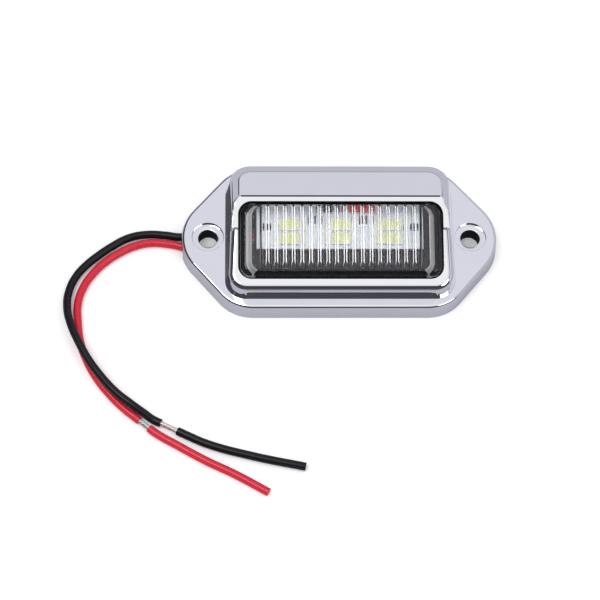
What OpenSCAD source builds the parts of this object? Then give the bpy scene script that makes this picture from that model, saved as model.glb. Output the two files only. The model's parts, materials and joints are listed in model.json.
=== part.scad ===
// Number plate lamp: a chrome hooded housing with a fluted lens, six LEDs and two loose wires.
// The lamp lies on its back face, z = 0. +Z points out of its face and +Y towards the hood.

/* [Flange] */
// Overall length of the flange
flange_l = 78; // [74:0.5:84]
// Overall width of the flange
flange_w = 39.2; // [38.6:0.2:42]
// Height of the flange above the surface it is screwed to
flange_h = 4.9; // [4.7:0.1:6]
// Radius of the two pointed ends
tip_r = 12; // [11:0.5:13]
// Radius of the four blunt corners
corner_r = 10.5; // [9.5:0.5:11.5]
// Distance from an end of the flange to the centres of the corner arcs near it
corner_inset = 17.7; // [17:0.1:18.5]
// Rounding of the flange's upper edge
edge_round = 1.2; // [0.6:0.1:1.4]
// How far the skirt leans outwards down to its foot
skirt_flare = 0.3; // [0.1:0.05:0.5]
// Thickness of the skirt
skirt_wall = 1.5; // [1.2:0.1:1.8]
// Thickness of the flange's top plate
plate_t = 1.5; // [1.3:0.1:1.6]

/* [Screw holes] */
// Distance from an end of the flange to the screw hole near it
hole_inset = 6.5; // [6:0.25:7]
// Diameter of a screw hole
hole_d = 4.8; // [4:0.1:5.2]
// Diameter of the shallow seat around a screw hole
seat_d = 7.7; // [7:0.1:8.4]
// Depth of the seat
seat_h = 0.8; // [0.4:0.1:1]
// Wall of the tube under a screw hole
boss_wall = 1; // [0.8:0.1:1.2]

/* [Box and hood] */
// Length of the flange beyond each end of the raised box
end_l = 11; // [10.2:0.1:11.5]
// How far the box's end walls lean inwards up to its upper edge
box_draft = 0.8; // [0.5:0.05:1]
// Distance from the middle to the foot of the box's front wall
box_front = 17.5; // [17:0.1:18]
// Distance from the middle to the foot of the box's rear wall
box_rear = 16.9; // [16.4:0.1:17.4]
// Corner radius of the box's foot
box_corner = 5; // [4.5:0.25:5.5]
// Height of the sloping face above the flange at its front edge
rim_h = 4.2; // [3.8:0.1:4.6]
// Slope of the face that holds the lens, in degrees
face_tilt = 13.8; // [12:0.2:15]
// Corner radius of the sloping face
rim_corner = 4.6; // [4:0.1:5]
// Rounding of the sloping face's edge
rim_edge = 0.9; // [0.6:0.1:1.2]
// Width of the strip between the window and the hood's ridge
lip_w = 1.3; // [1:0.1:1.6]
// Fall of the hood's panel behind the ridge, in degrees
hood_fall = 16.6; // [14:0.2:18]
// Rounding where the hood's panel turns down
hood_round = 2.4; // [1.8:0.1:2.6]
// How far the hood stands proud of the sloping face
hood_step = 0.6; // [0.4:0.1:0.8]
// Distance up the sloping face at which the hood's cheeks begin
cheek_start = 15.8; // [14:0.2:17]
// Radius of the foot fillet round the box
foot_fillet = 0.9; // [0.5:0.1:1.1]
// Wall of the box
box_wall = 1.4; // [1.2:0.1:1.5]

/* [Window and lens] */
// Width of the rim at each end of the window
side_rim = 2.2; // [2:0.1:3]
// Width of the window, measured up the sloping face
window_w = 19.3; // [18.5:0.1:19.6]
// Distance from the face's front edge to the window
window_start = 3.4; // [3.1:0.1:3.7]
// Corner radius of the window
window_corner = 3.3; // [2.8:0.1:3.8]
// Thickness of the housing round the window
rim_t = 1.3; // [1.1:0.1:1.4]
// Clearance between the lens and the window
lens_gap = 0.15; // [0.1:0.05:0.25]
// How far the lens stands out of the window
lens_proud = 1.2; // [0.8:0.1:1.5]
// Rounding of the lens's outer edge
lens_round = 1.1; // [0.6:0.05:1.1]
// Thickness of the lens's seating edge
lens_edge_t = 1.2; // [1:0.1:1.4]
// How far the seating edge reaches past the window
lens_lap = 0.8; // [0.6:0.05:0.85]
// Thickness of the lens's front
lens_t = 1.3; // [1.1:0.1:1.6]
// Thickness of the lens's side walls
lens_side = 1.8; // [1.4:0.1:2.2]
// Distance from one flute to the next
flute_pitch = 2.1; // [1.9:0.05:2.4]
// Diameter of a flute
flute_d = 1.8; // [1.5:0.05:1.85]
// Depth of a flute
flute_depth = 0.5; // [0.3:0.05:0.6]

/* [Board and LEDs] */
// Clearance between an end of the circuit board and the box
board_end_gap = 5.45; // [5:0.05:6]
// Width of the circuit board
board_w = 11; // [10.6:0.2:11.4]
// Thickness of the circuit board
board_t = 1; // [0.8:0.1:1.2]
// Depth of the board's face behind the sloping face
board_depth = 5.5; // [5.2:0.1:5.8]
// Distance from the face's front edge to the board's middle
board_mid = 17.7; // [17.5:0.1:17.9]
// Length of one LED
led_l = 5.7; // [5:0.1:6]
// Width of one LED
led_w = 3; // [2.6:0.1:3.2]
// Height of one LED
led_h = 0.9; // [0.7:0.1:1.2]
// Length of the board left free of LEDs at each end
led_margin = 2.2; // [1:0.1:3]
// Distance between the two LED rows
row_pitch = 3.5; // [3.3:0.1:3.8]
// Distance from the board's middle to the upper LED row
upper_row = 0.5; // [0.3:0.1:0.8]
// Length of a resistor
resistor_l = 3.2; // [2.8:0.1:3.4]
// Width of a resistor
resistor_w = 1.6; // [1.2:0.1:1.8]
// Height of a resistor
resistor_h = 0.6; // [0.4:0.1:0.8]
// Distance from the board's upper edge to a resistor
resistor_inset = 2.2; // [2.1:0.1:2.5]
// Radius of a solder joint
solder_r = 0.8; // [0.6:0.05:0.9]
// Distance from the middle to a solder joint
solder_x = 1.2; // [1:0.1:1.6]
// Diameter of the pins that locate the board
pin_d = 1.8; // [1.4:0.1:2]
// Clearance round a locating pin
pin_gap = 0.1; // [0.05:0.05:0.2]

/* [Back cover and gland] */
// How far the back cover reaches past each end of the box's hollow
cover_lap = 2.25; // [1.5:0.05:2.5]
// Thickness of the back cover
cover_t = 1; // [0.9:0.1:1.1]
// Clearance between the back cover and the skirt
cover_gap = 0.2; // [0.1:0.05:0.3]
// Thickness of the ribs that carry the board
rib_t = 2.8; // [2.4:0.1:3.1]
// Length of the ribs that carry the board
rib_l = 8; // [7:0.2:8.6]
// Distance from an end of the board to the middle of the rib under it
rib_inset = 2.1; // [2:0.1:2.6]
// Clearance between the wire gland's outer face and the end of the box's hollow
gland_end_gap = 0.45; // [0.2:0.05:0.7]
// Length of the wire gland under the cover
gland_l = 6; // [5.4:0.2:6.6]
// Width of the wire gland under the cover
gland_w = 6.8; // [6.2:0.2:8]
// Diameter of the gland's stem through the cover
stem_d = 5; // [4.8:0.1:5.2]
// Clearance between the gland and the surface below it
gland_gap = 0.2; // [0.1:0.05:0.2]
// Height of the gland's stem above the cover
stem_rise = 1.2; // [0.8:0.1:1.4]

/* [Wires] */
// Outer diameter of a wire
wire_d = 2; // [1.8:0.05:2]
// Diameter of the bare strands
strand_d = 1.2; // [0.8:0.05:1.4]
// Width of the notch in the skirt that lets the wires out
notch_w = 7.6; // [7.4:0.1:8]
// Height of the notch
notch_h = 2.3; // [2.2:0.1:2.4]
// Sideways place of the notch's middle
notch_y = 0.35; // [0.3:0.05:0.4]

/* [Hidden] */
smooth = 64;
tip_smooth = 72;
corner_smooth = 56;
hull_smooth = 32;
edge_smooth = 24;
wire_sides = 8;
cut = 0.5;

chrome = [0.82, 0.83, 0.86];
clear = [0.85, 0.9, 0.95, 0.35];
black = [0.03, 0.03, 0.03];
board_white = [0.93, 0.94, 0.95];
led_body = [0.95, 0.95, 0.8];
tin = [0.75, 0.75, 0.76];
wire_red = [0.8, 0.03, 0.05];

// Plan of the flange
tip_centre = [flange_l / 2 - tip_r, 0];
corner_centre = [flange_l / 2 - corner_inset, flange_w / 2 - corner_r];
slant = corner_centre - tip_centre;
slant_normal = atan2(slant.y, slant.x) - acos((tip_r - corner_r) / norm(slant));
slant_out = [cos(slant_normal), sin(slant_normal)];

// Lengths that follow from the flange's length
hole_spacing = flange_l - 2 * hole_inset;
box_l = flange_l - 2 * end_l;
box_top_l = box_l - 2 * box_draft;
window_l = box_top_l - 2 * side_rim;
cavity_l = window_l + 2 * lens_lap + 2 * lens_gap;
board_l = cavity_l - 2 * board_end_gap;
led_pitch = (board_l - 2 * led_margin) / 3;
rib_x = board_l / 2 - rib_inset;
cover_l = cavity_l + 2 * cover_lap;
gland_x = cavity_l / 2 - gland_end_gap;

// The sloping face starts at the front edge of the box
face_z = flange_h + rim_h;
ridge = face_at(0, window_start + window_w + lip_w, hood_step);
cavity_front = box_front - box_wall;
cavity_rear = box_rear - box_wall;
cavity_corner = box_corner - box_wall;
under_plate = flange_h - plate_t;
cover_z = under_plate - cover_t;
window_mid = window_start + window_w / 2;
lens_l = window_l - 2 * lens_gap;
lens_w = window_w - 2 * lens_gap;
lens_corner = window_corner - lens_gap;
pocket_l = lens_l - 2 * lens_side;
pocket_w = lens_w - 2 * lens_side;
pocket_corner = lens_corner - lens_side;
pocket_top = lens_proud - lens_t;
flutes = floor((pocket_l - flute_d) / flute_pitch / 2);
board_back = board_depth + board_t;
led_places = [
    for (row = [0, 1], column = [-1, 0, 1])
        [column * led_pitch, board_mid + upper_row - row * row_pitch]
];
resistor_x = led_pitch / 2;
resistor_up = board_mid + board_w / 2 - resistor_l / 2 - resistor_inset;
stem_x = gland_x - gland_l / 2;
solder_inset = 0.3;
lead_lift = 0.1;
lead_gap = 2.4;
exit_gap = 3.4;
wire_r = wire_d / 2;
solder_up = board_mid + board_w / 2 - solder_r - solder_inset;
lead_up = board_mid + board_w / 2 - wire_r;
lead_out = wire_r - board_depth + lead_lift;

function face_at(x, up, out) = [
    x,
    up * cos(face_tilt) - out * sin(face_tilt) - box_front,
    up * sin(face_tilt) + out * cos(face_tilt) + face_z
];
function face_under(y, depth) = face_z + (y + box_front) * tan(face_tilt) - depth / cos(face_tilt);
function panel_under(y, depth) = ridge.z - (y - ridge.y) * tan(hood_fall) - depth / cos(hood_fall);

// Routes of the wires' centre lines; the black wire lies over the red one from where they cross
black_exit = [-gland_x, exit_gap / 2, 1.2];
red_exit = [-gland_x, -exit_gap / 2, 1.2];
black_route = [
    black_exit, [-27, 1.7, 1.2], [-28.3, 2.7, 1.1], [-29.6, 4, 1], [-31.4, 4.9, 1], [-33.4, 4.9, 1],
    [-35.2, 3.95, 1], [-37, 2.5, 1], [-39.2, 2, 1], [-43.3, 2.5, 1], [-47.5, 2.7, 1], [-52, 1.8, 1],
    [-56.5, -0.8, 1], [-59.7, -3.3, 1], [-62.5, -5.9, 1], [-65, -9.2, 1], [-66.5, -13.3, 1.2],
    [-66.7, -17.7, 2], [-65.7, -22.5, 2.9], [-63.6, -27.5, 3.2], [-61.2, -32, 3.15],
    [-58, -36.6, 3.1], [-54.3, -40.8, 3], [-50.6, -43.8, 2.7], [-47.4, -45.9, 1.7],
    [-45.2, -47.3, 1], [-43.4, -48.2, 1]
];
red_route = [
    red_exit, [-27, -1.7, 1.2], [-28.3, -2.7, 1.1], [-29.6, -4, 1], [-31.4, -4.8, 1],
    [-33.4, -4.7, 1], [-35.4, -3.7, 1], [-37.2, -1.7, 1], [-39.2, -0.7, 1], [-43, 0.1, 1],
    [-47, 0.3, 1], [-51, -0.7, 1], [-54.6, -2.6, 1], [-57.8, -5, 1], [-60.6, -8, 1], [-63, -12, 1],
    [-64.2, -16.5, 1], [-64, -21.8, 1], [-63.2, -27, 1], [-61.4, -32, 1], [-59, -36.4, 1],
    [-55.5, -41, 1], [-52, -44.6, 1], [-49.7, -46.5, 1], [-48.5, -47.5, 1]
];
black_bare = [[-43.4, -48.2, 1], [-39.4, -50.2, 1]];
red_bare = [[-48.5, -47.5, 1], [-46.1, -49.5, 1]];
black_tail = [
    [-39.4, -50.2, 1], [-37.4, -51.2, 1], [-32.4, -53.5, 1], [-21.4, -56.7, 1], [-9, -59.4, 1]
];
red_tail = [
    [-46.1, -49.5, 1], [-44.9, -50.5, 1], [-39, -54.1, 1], [-32.4, -57.9, 1], [-25.8, -61.2, 1],
    [-17.8, -65.8, 1]
];
stem_top = under_plate + stem_rise;
lead_end = solder_x + solder_r;
// Routes of the inner leads; along the lamp their free points are shares of the stem's distance
function spread(share, y, z) = [share * stem_x, y, z];
black_lead = [
    [-stem_x, lead_gap / 2, stem_top], [-stem_x, lead_gap / 2, stem_top + 0.8],
    [-stem_x, lead_gap / 2 + 1.4, stem_top + 2.4], [-stem_x, 5.2, 8.2],
    spread(-0.96, 8.4, 9), spread(-0.82, 10, 9.5), spread(-0.64, 10.2, 9.7), spread(-0.49, 9.8, 10),
    spread(-0.36, 8.9, 10.4), face_at(-5.6, lead_up + 1.2, lead_out),
    face_at(-3.6, lead_up, lead_out), face_at(-lead_end, lead_up, lead_out)
];
red_lead = [
    [-stem_x, -lead_gap / 2, stem_top], [-stem_x, -lead_gap / 2, stem_top + 0.8],
    [-stem_x - 2, 0.1, stem_top + 2.6], [-stem_x - 2.4, 4, 7.9],
    [-stem_x - 1.5, 8.8, 7.9], spread(-0.92, 12.6, 7.8), spread(-0.62, 13, 8), spread(-0.18, 13, 8),
    spread(0.18, 12.6, 8.2), spread(0.4, 11.4, 9), spread(0.515, 9.4, 9.9),
    face_at(0.47 * stem_x, lead_up + 2, lead_out + 0.4),
    face_at(0.35 * stem_x, lead_up + 0.3, lead_out),
    face_at(5, lead_up, lead_out), face_at(lead_end, lead_up, lead_out)
];

// Places children on the sloping face: "up" runs up the slope and "out" away from the face
module on_face(x = 0, up = 0, out = 0) {
    translate([0, -box_front, face_z]) rotate([face_tilt, 0, 0]) translate([x, up, out]) children();
}

module both_ends() {
    for (side = [0, 1]) mirror([side, 0, 0]) children();
}

// Plan of the flange, moved outwards by grow
module flange_plan(grow = 0) {
    tip_point = tip_centre + (tip_r + grow) * slant_out;
    corner_point = corner_centre + (corner_r + grow) * slant_out;
    edge_point = corner_centre + [0, corner_r + grow];
    one_side = [tip_point, corner_point, edge_point];
    left_side = [for (i = [2:-1:0]) [-one_side[i].x, one_side[i].y]];
    upper = concat(one_side, left_side);
    lower = [for (i = [5:-1:0]) [upper[i].x, -upper[i].y]];
    union() {
        polygon(concat(upper, lower));
        both_ends() {
            translate(tip_centre) circle(r = tip_r + grow, $fn = smooth);
            for (side = [-1, 1])
                translate([corner_centre.x, side * corner_centre.y])
                    circle(r = corner_r + grow, $fn = smooth);
        }
    }
}

// Flat rectangle with round corners, centred
module round_rectangle(length, width, radius) {
    union() {
        square([length - 2 * radius, width], center = true);
        square([length, width - 2 * radius], center = true);
        for (x = [-1, 1], y = [-1, 1])
            translate([x * (length / 2 - radius), y * (width / 2 - radius)])
                circle(r = radius, $fn = smooth);
    }
}

// Disc on z = 0 whose upper edge is rounded and whose foot may flare
module soft_disc(radius, height, round_r, flare = 0, detail = hull_smooth) {
    rotate_extrude($fn = detail) union() {
        polygon([
            [0, 0], [radius + flare, 0], [radius, height - round_r], [radius - round_r, height], [0, height]
        ]);
        intersection() {
            translate([radius - round_r, height - round_r]) circle(r = round_r, $fn = edge_smooth);
            translate([radius - round_r, height - round_r]) square(round_r);
        }
    }
}

// Outer form of the flange with its skirt
module flange_solid() {
    hull() both_ends() {
        translate(tip_centre) soft_disc(tip_r - skirt_flare, flange_h, edge_round, skirt_flare, tip_smooth);
        for (side = [-1, 1])
            translate([corner_centre.x, side * corner_centre.y])
                soft_disc(corner_r - skirt_flare, flange_h, edge_round, skirt_flare, corner_smooth);
    }
}

// Small sloped foot round the box, where it grows out of the flange
module foot_solid() {
    wide_r = box_corner + foot_fillet;
    narrow_r = box_corner - 0.1;
    hull() both_ends() {
        for (y = [-box_front, box_rear]) {
            inward = y > 0 ? -box_corner : box_corner;
            translate([box_l / 2 - box_corner, y + inward, under_plate + cut])
                cylinder(h = plate_t - cut, r = wide_r, $fn = hull_smooth);
            translate([box_l / 2 - box_corner, y + inward, flange_h])
                cylinder(h = foot_fillet, r1 = wide_r, r2 = narrow_r, $fn = hull_smooth);
        }
    }
}

// Low box that carries the sloping face
module box_solid() {
    front_in = 0.4;
    hull() both_ends() {
        for (y = [box_corner - box_front, box_rear - box_corner])
            translate([box_l / 2 - box_corner, y, under_plate + cut])
                cylinder(h = plate_t, r = box_corner, $fn = hull_smooth);
        on_face(box_top_l / 2 - rim_corner, rim_corner + front_in, -rim_edge)
            soft_disc(rim_corner, rim_edge, rim_edge);
        on_face(box_top_l / 2 - rim_edge, window_start + window_w + rim_edge, -rim_edge)
            sphere(r = rim_edge, $fn = hull_smooth);
    }
}

// Hood that rises behind the window, with cheeks that reach down both sides of it
module hood_solid() {
    cheek_foot_r = 0.8;
    cheek_foot_in = 1.4;
    ridge_in = 0.3;
    rear_in = 0.9;
    panel_l = (box_rear - ridge.y) / cos(hood_fall) - rear_in;
    hull() both_ends() {
        translate([box_l / 2 - box_corner, box_rear - box_corner, under_plate + cut])
            cylinder(h = plate_t, r = box_corner, $fn = hull_smooth);
        on_face(box_l / 2 - cheek_foot_in, cheek_start, -rim_h)
            cylinder(h = cheek_foot_r, r = cheek_foot_r, $fn = hull_smooth);
        on_face(box_top_l / 2 - rim_edge, cheek_start, hood_step - rim_edge)
            sphere(r = rim_edge, $fn = hull_smooth);
        translate([box_top_l / 2 - rim_edge - ridge_in, ridge.y, ridge.z - rim_edge])
            sphere(r = rim_edge, $fn = hull_smooth);
        translate(ridge) rotate([-hood_fall, 0, 0])
            translate([box_top_l / 2 - box_corner, panel_l - box_corner, -hood_round])
                soft_disc(box_corner, hood_round, hood_round);
    }
}

// Hollow inside the box, open to the back
module box_cavity() {
    bevel_l = 1.8;
    bevel_h = 1.6;
    roof_y = ridge.y + 0.8;
    rear_y = cavity_rear - bevel_l;
    rear_z = panel_under(cavity_rear, box_wall) - bevel_h;
    intersection() {
        translate([cavity_l / -2, 0, 0]) rotate([90, 0, 90]) linear_extrude(height = cavity_l)
            polygon([
                [-cavity_front, under_plate - cut], [-cavity_front, face_under(-cavity_front, rim_t)],
                [roof_y, face_under(roof_y, rim_t)], [roof_y, panel_under(roof_y, box_wall)],
                [rear_y, panel_under(rear_y, box_wall)], [cavity_rear, rear_z],
                [cavity_rear, under_plate - cut]
            ]);
        translate([0, (cavity_rear - cavity_front) / 2, 0]) linear_extrude(height = 3 * flange_h)
            round_rectangle(cavity_l, cavity_rear + cavity_front, cavity_corner);
    }
}

module screw_hole(x) {
    translate([x, 0, -cut]) cylinder(h = flange_h + 2 * cut, d = hole_d, $fn = smooth);
    translate([x, 0, flange_h - seat_h]) cylinder(h = seat_h + cut, d = seat_d, $fn = smooth);
}

// Notch in the skirt through which the wires leave
module wire_notch() {
    notch_l = 2 * skirt_wall;
    translate([-flange_l / 2 - 2 * cut, notch_y - notch_w / 2, -cut])
        cube([notch_l + 2 * cut, notch_w, notch_h + cut]);
}

module flange_cavity() {
    difference() {
        translate([0, 0, -cut]) linear_extrude(height = under_plate + cut) flange_plan(-skirt_wall);
        for (x = [-1, 1]) translate([x * hole_spacing / 2, 0, -2 * cut])
            cylinder(h = flange_h, r = hole_d / 2 + boss_wall, $fn = smooth);
    }
}

module housing() {
    color(chrome) difference() {
        union() {
            flange_solid();
            foot_solid();
            box_solid();
            hood_solid();
        }
        flange_cavity();
        box_cavity();
        on_face(0, window_mid, -2 * rim_t) linear_extrude(height = 4 * rim_t + hood_step)
            round_rectangle(window_l, window_w, window_corner);
        screw_hole(hole_spacing / 2);
        screw_hole(-hole_spacing / 2);
        wire_notch();
    }
}

// Clear cap that stands out of the window, with a seating edge behind the rim and flutes inside
module lens() {
    lap = lens_lap + lens_gap;
    color(clear) on_face(0, window_mid, 0) difference() {
        union() {
            translate([0, 0, -rim_t - lens_edge_t]) linear_extrude(height = lens_edge_t)
                round_rectangle(lens_l + 2 * lap, lens_w + 2 * lap, lens_corner + lap);
            translate([0, 0, -rim_t]) hull() for (x = [-1, 1], y = [-1, 1])
                translate([x * (lens_l / 2 - lens_corner), y * (lens_w / 2 - lens_corner), 0])
                    soft_disc(lens_corner, rim_t + lens_proud, lens_round);
        }
        translate([0, 0, -rim_t - lens_edge_t - cut])
            linear_extrude(height = rim_t + lens_edge_t + cut + pocket_top)
                round_rectangle(pocket_l, pocket_w, pocket_corner);
        for (i = [-flutes:flutes])
            translate([i * flute_pitch, pocket_w / 2, pocket_top + flute_depth - flute_d / 2])
                rotate([90, 0, 0]) cylinder(h = pocket_w, d = flute_d, $fn = edge_smooth);
    }
}

// Rib that stands on the cover and carries one end of the board
module board_rib() {
    rib_y = face_at(0, board_mid, -board_back).y;
    low_y = rib_y - rib_l / 2;
    high_y = rib_y + rib_l / 2;
    translate([rib_x - rib_t / 2, 0, 0]) rotate([90, 0, 90]) linear_extrude(height = rib_t)
        polygon([
            [low_y, under_plate - cover_t / 2], [high_y, under_plate - cover_t / 2],
            [high_y, face_under(high_y, board_back)], [low_y, face_under(low_y, board_back)]
        ]);
    on_face(rib_x, board_mid, -board_back - cut) cylinder(h = board_t + 2 * cut, d = pin_d, $fn = smooth);
}

module back_cover() {
    color(black) difference() {
        union() {
            translate([0, 0, cover_z]) linear_extrude(height = cover_t) intersection() {
                flange_plan(-skirt_wall - cover_gap);
                square([cover_l, 2 * flange_w], center = true);
            }
            both_ends() board_rib();
        }
        translate([-stem_x, 0, cover_z - cut]) cylinder(h = cover_t + 2 * cut, d = stem_d, $fn = smooth);
    }
}

// Elbow of rubber that takes the two wires through the cover and out along it
module wire_gland() {
    color(black) union() {
        translate([-gland_x, -gland_w / 2, gland_gap]) cube([gland_l, gland_w, cover_z - gland_gap]);
        translate([-stem_x, 0, cover_z - cut])
            cylinder(h = cover_t + stem_rise + cut, d = stem_d, $fn = smooth);
    }
}

module circuit_board() {
    color(board_white) difference() {
        on_face(0, board_mid, -board_back) linear_extrude(height = board_t)
            square([board_l, board_w], center = true);
        both_ends() on_face(rib_x, board_mid, -board_back - cut)
            cylinder(h = board_t + 2 * cut, d = pin_d + 2 * pin_gap, $fn = smooth);
    }
}

// One LED: a body with sloping sides round a shallow well of phosphor
module led(number) {
    place = led_places[number - 1];
    wall = 0.35;
    well = 0.15;
    color(led_body) on_face(place.x, place.y, -board_depth) difference() {
        linear_extrude(height = led_h) round_rectangle(led_l, led_w, wall);
        translate([0, 0, led_h - well]) linear_extrude(height = cut)
            round_rectangle(led_l - 4 * wall, led_w - 2 * wall, wall);
    }
}

module resistor(side) {
    cap_l = 0.5;
    cap_h = resistor_h - 0.05;
    color(black) on_face(side * resistor_x, resistor_up, -board_depth) union() {
        linear_extrude(height = cap_h) square([resistor_w, resistor_l], center = true);
        linear_extrude(height = resistor_h) square([resistor_w, resistor_l - 2 * cap_l], center = true);
    }
}

// Domed joint at the end of a lead
module solder_joint(x) {
    color(tin) on_face(x, solder_up, -board_depth) rotate_extrude($fn = smooth) intersection() {
        circle(r = solder_r, $fn = smooth);
        square(solder_r);
    }
}

function unit(v) = v / norm(v);
function direction(points, i) =
    unit(points[min(i + 1, len(points) - 1)] - points[max(i - 1, 0)]);
function ring(points, i, radius, above) =
    let (
        along = direction(points, i),
        aside = unit(cross(along, above)),
        over = cross(aside, along)
    ) [
        for (k = [0:wire_sides - 1])
            let (turn = (k + 0.5) * 360 / wire_sides)
            points[i] + radius * (cos(turn) * aside + sin(turn) * over)
    ];

// Round tube swept along the points of a route; the route never runs along the direction "above"
module tube(points, diameter, above = [0, 0, 1]) {
    last = len(points) - 1;
    rings = [for (i = [0:last]) each ring(points, i, diameter / 2, above)];
    sides = [
        for (i = [0:last - 1], k = [0:wire_sides - 1])
            let (a = i * wire_sides, b = (k + 1) % wire_sides)
            [a + k, a + b, a + wire_sides + b, a + wire_sides + k]
    ];
    near_end = [for (k = [wire_sides - 1:-1:0]) k];
    far_end = [for (k = [0:wire_sides - 1]) last * wire_sides + k];
    polyhedron(points = rings, faces = concat(sides, [near_end, far_end]), convexity = 10);
}

module black_inner_lead() { color(black) tube(black_lead, wire_d, [0, -1, 1]); }
module red_inner_lead() { color(wire_red) tube(red_lead, wire_d, [0, -1, 1]); }
module black_wire() { color(black) tube(black_route, wire_d); }
module red_wire() { color(wire_red) tube(red_route, wire_d); }
module black_strands() { color(tin) tube(black_bare, strand_d); }
module red_strands() { color(tin) tube(red_bare, strand_d); }
module black_end_sleeve() { color(black) tube(black_tail, wire_d); }
module red_end_sleeve() { color(wire_red) tube(red_tail, wire_d); }

housing();
lens();
back_cover();
wire_gland();
circuit_board();
led(1);  // led_1
led(2);  // led_2
led(3);  // led_3
led(4);  // led_4
led(5);  // led_5
led(6);  // led_6
resistor(-1);  // resistor_1
resistor(1);  // resistor_2
solder_joint(-solder_x);  // black_solder_joint
solder_joint(solder_x);  // red_solder_joint
black_inner_lead();
red_inner_lead();
black_wire();
red_wire();
black_strands();
red_strands();
black_end_sleeve();
red_end_sleeve();
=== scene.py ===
"""Number plate lamp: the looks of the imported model, laid out as an add-on and run as a script.

Lengths in the property groups are in metres, the named sizes before them in millimetres, all in the
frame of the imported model: +X along the lamp, +Y towards the hood and +Z out of its face.
"""
import json
import math

import bmesh
import bpy
from mathutils import Matrix, Vector


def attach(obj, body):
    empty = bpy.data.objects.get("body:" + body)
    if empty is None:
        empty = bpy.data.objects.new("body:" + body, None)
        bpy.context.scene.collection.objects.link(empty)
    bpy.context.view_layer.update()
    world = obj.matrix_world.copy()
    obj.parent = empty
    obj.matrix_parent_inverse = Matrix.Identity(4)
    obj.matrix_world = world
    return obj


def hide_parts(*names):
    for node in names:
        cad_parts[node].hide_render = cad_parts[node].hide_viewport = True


bl_info = {
    "name": "Number Plate Lamp",
    "version": (1, 0, 0),
    "blender": (4, 5, 0),
    "location": "View3D > Sidebar > Plate Lamp",
    "description": "Dresses the packed number plate lamp and sets up its studio",
    "category": "Object",
}

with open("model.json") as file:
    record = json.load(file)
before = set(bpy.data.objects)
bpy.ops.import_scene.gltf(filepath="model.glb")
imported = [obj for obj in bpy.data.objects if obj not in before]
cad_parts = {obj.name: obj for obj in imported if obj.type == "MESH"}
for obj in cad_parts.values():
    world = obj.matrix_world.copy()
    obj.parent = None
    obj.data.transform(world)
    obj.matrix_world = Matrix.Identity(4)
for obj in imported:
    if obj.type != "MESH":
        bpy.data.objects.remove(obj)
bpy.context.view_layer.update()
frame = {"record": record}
MM = 0.001

# Finishes of the pieces that have more than one, by their faces' material numbers
HOUSING_SLOTS = ("chrome_plastic", "black_plastic")
LENS_SLOTS = ("clear_lens", "dull_lens", "black_plastic")
LED_SLOTS = ("led_body", "phosphor", "tin")
RESISTOR_SLOTS = ("resistor_ceramic", "tin")

# Flange: lengths in millimetres, and the scale by which its foot spreads
FLANGE_H = 4.9
FLANGE_EDGE = 0.8
FOOT_SPREAD = (1.0077, 1.0153, 1)
SKIRT_WALL = 1.5
UNDER_PLATE = 3.4
HOLE_X = 32.5
BORE_R = 2.4
SEAT_R = 3.85
SEAT_H = 4.1
TUBE_R = 3.4
NOTCH_H = 2.3

# Window in the sloping face and what lies round it: lengths in millimetres, and the hood's fall
WINDOW_HALF_L = 25.0
WINDOW_HALF_W = 9.65
WINDOW_CORNER = 3.3
WINDOW_MID = 13.05
LIP_W = 1.3
HOOD_STEP = 0.6
RIM_T = 1.34
HOOD_T = 1.4587
HOOD_FALL = math.radians(16.6)
CREASE_R = 0.22
CREASE_L = 48.6

# Lens about its own middle: lengths in millimetres, and the share of its height that pressing leaves
LENS_PLAY = 0.5
LENS_TOP = 2.4
LENS_FOOT = -2.6
LENS_EDGE = 2.3
LENS_PRESS = 0.5
SEAT_EDGE = 0.8
SEAT_TOP = -1.3
SEAT_FOOT = -2.75
POCKET_ROOF = -0.1
FLUTE_PITCH = 2.1
FLUTE_R = 0.95
FLUTE_TIP_R = 0.4
FLUTE_OUT = -0.5
FLUTES_EACH_SIDE = 9

# Rows of LEDs, up the slope from the board's middle, in millimetres
LED_ROW_UP = 0.5
LED_ROW_STEP = 3.5


def colour_field(name, description, default):
    """Property that holds a colour."""
    return bpy.props.FloatVectorProperty(
        name=name, description=description, subtype="COLOR", default=default)


def length_field(name, description, default):
    """Property that holds a length in metres."""
    return bpy.props.FloatProperty(name=name, description=description, unit="LENGTH", default=default)


def angle_field(name, description, degrees):
    """Property that holds an angle, stated in degrees."""
    return bpy.props.FloatProperty(
        name=name, description=description, subtype="ANGLE", default=math.radians(degrees))


class LampColours(bpy.types.PropertyGroup):
    """Colours of the lamp's finishes"""

    chrome: colour_field("Chrome", "Colour of the chrome plate", (0.86, 0.87, 0.89))
    clear: colour_field("Lens", "Colour of the clear lens", (0.98, 0.985, 0.99))
    board: colour_field("Board", "Colour of the board's solder mask", (0.8, 0.84, 0.9))
    led_body: colour_field("LED body", "Colour of an LED's body", (0.86, 0.87, 0.84))
    phosphor: colour_field("Phosphor", "Colour of an LED's phosphor", (0.8, 0.85, 0.36))
    resistor: colour_field("Resistor", "Colour of a resistor's glaze", (0.03, 0.03, 0.035))
    tin: colour_field("Tin", "Colour of solder and of the LEDs' tabs", (0.72, 0.72, 0.74))
    strands: colour_field("Strands", "Colour of the tinned strands", (0.8, 0.72, 0.7))
    black_plastic: colour_field("Black plastic", "Colour of bare black plastic", (0.008, 0.008, 0.009))
    rubber: colour_field("Rubber", "Colour of the wire gland", (0.02, 0.02, 0.02))
    black_wire: colour_field("Black wire", "Colour of the black wire's skin", (0.007, 0.007, 0.009))
    red_wire: colour_field("Red wire", "Colour of the red wire's skin", (0.6, 0.012, 0.035))


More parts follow.
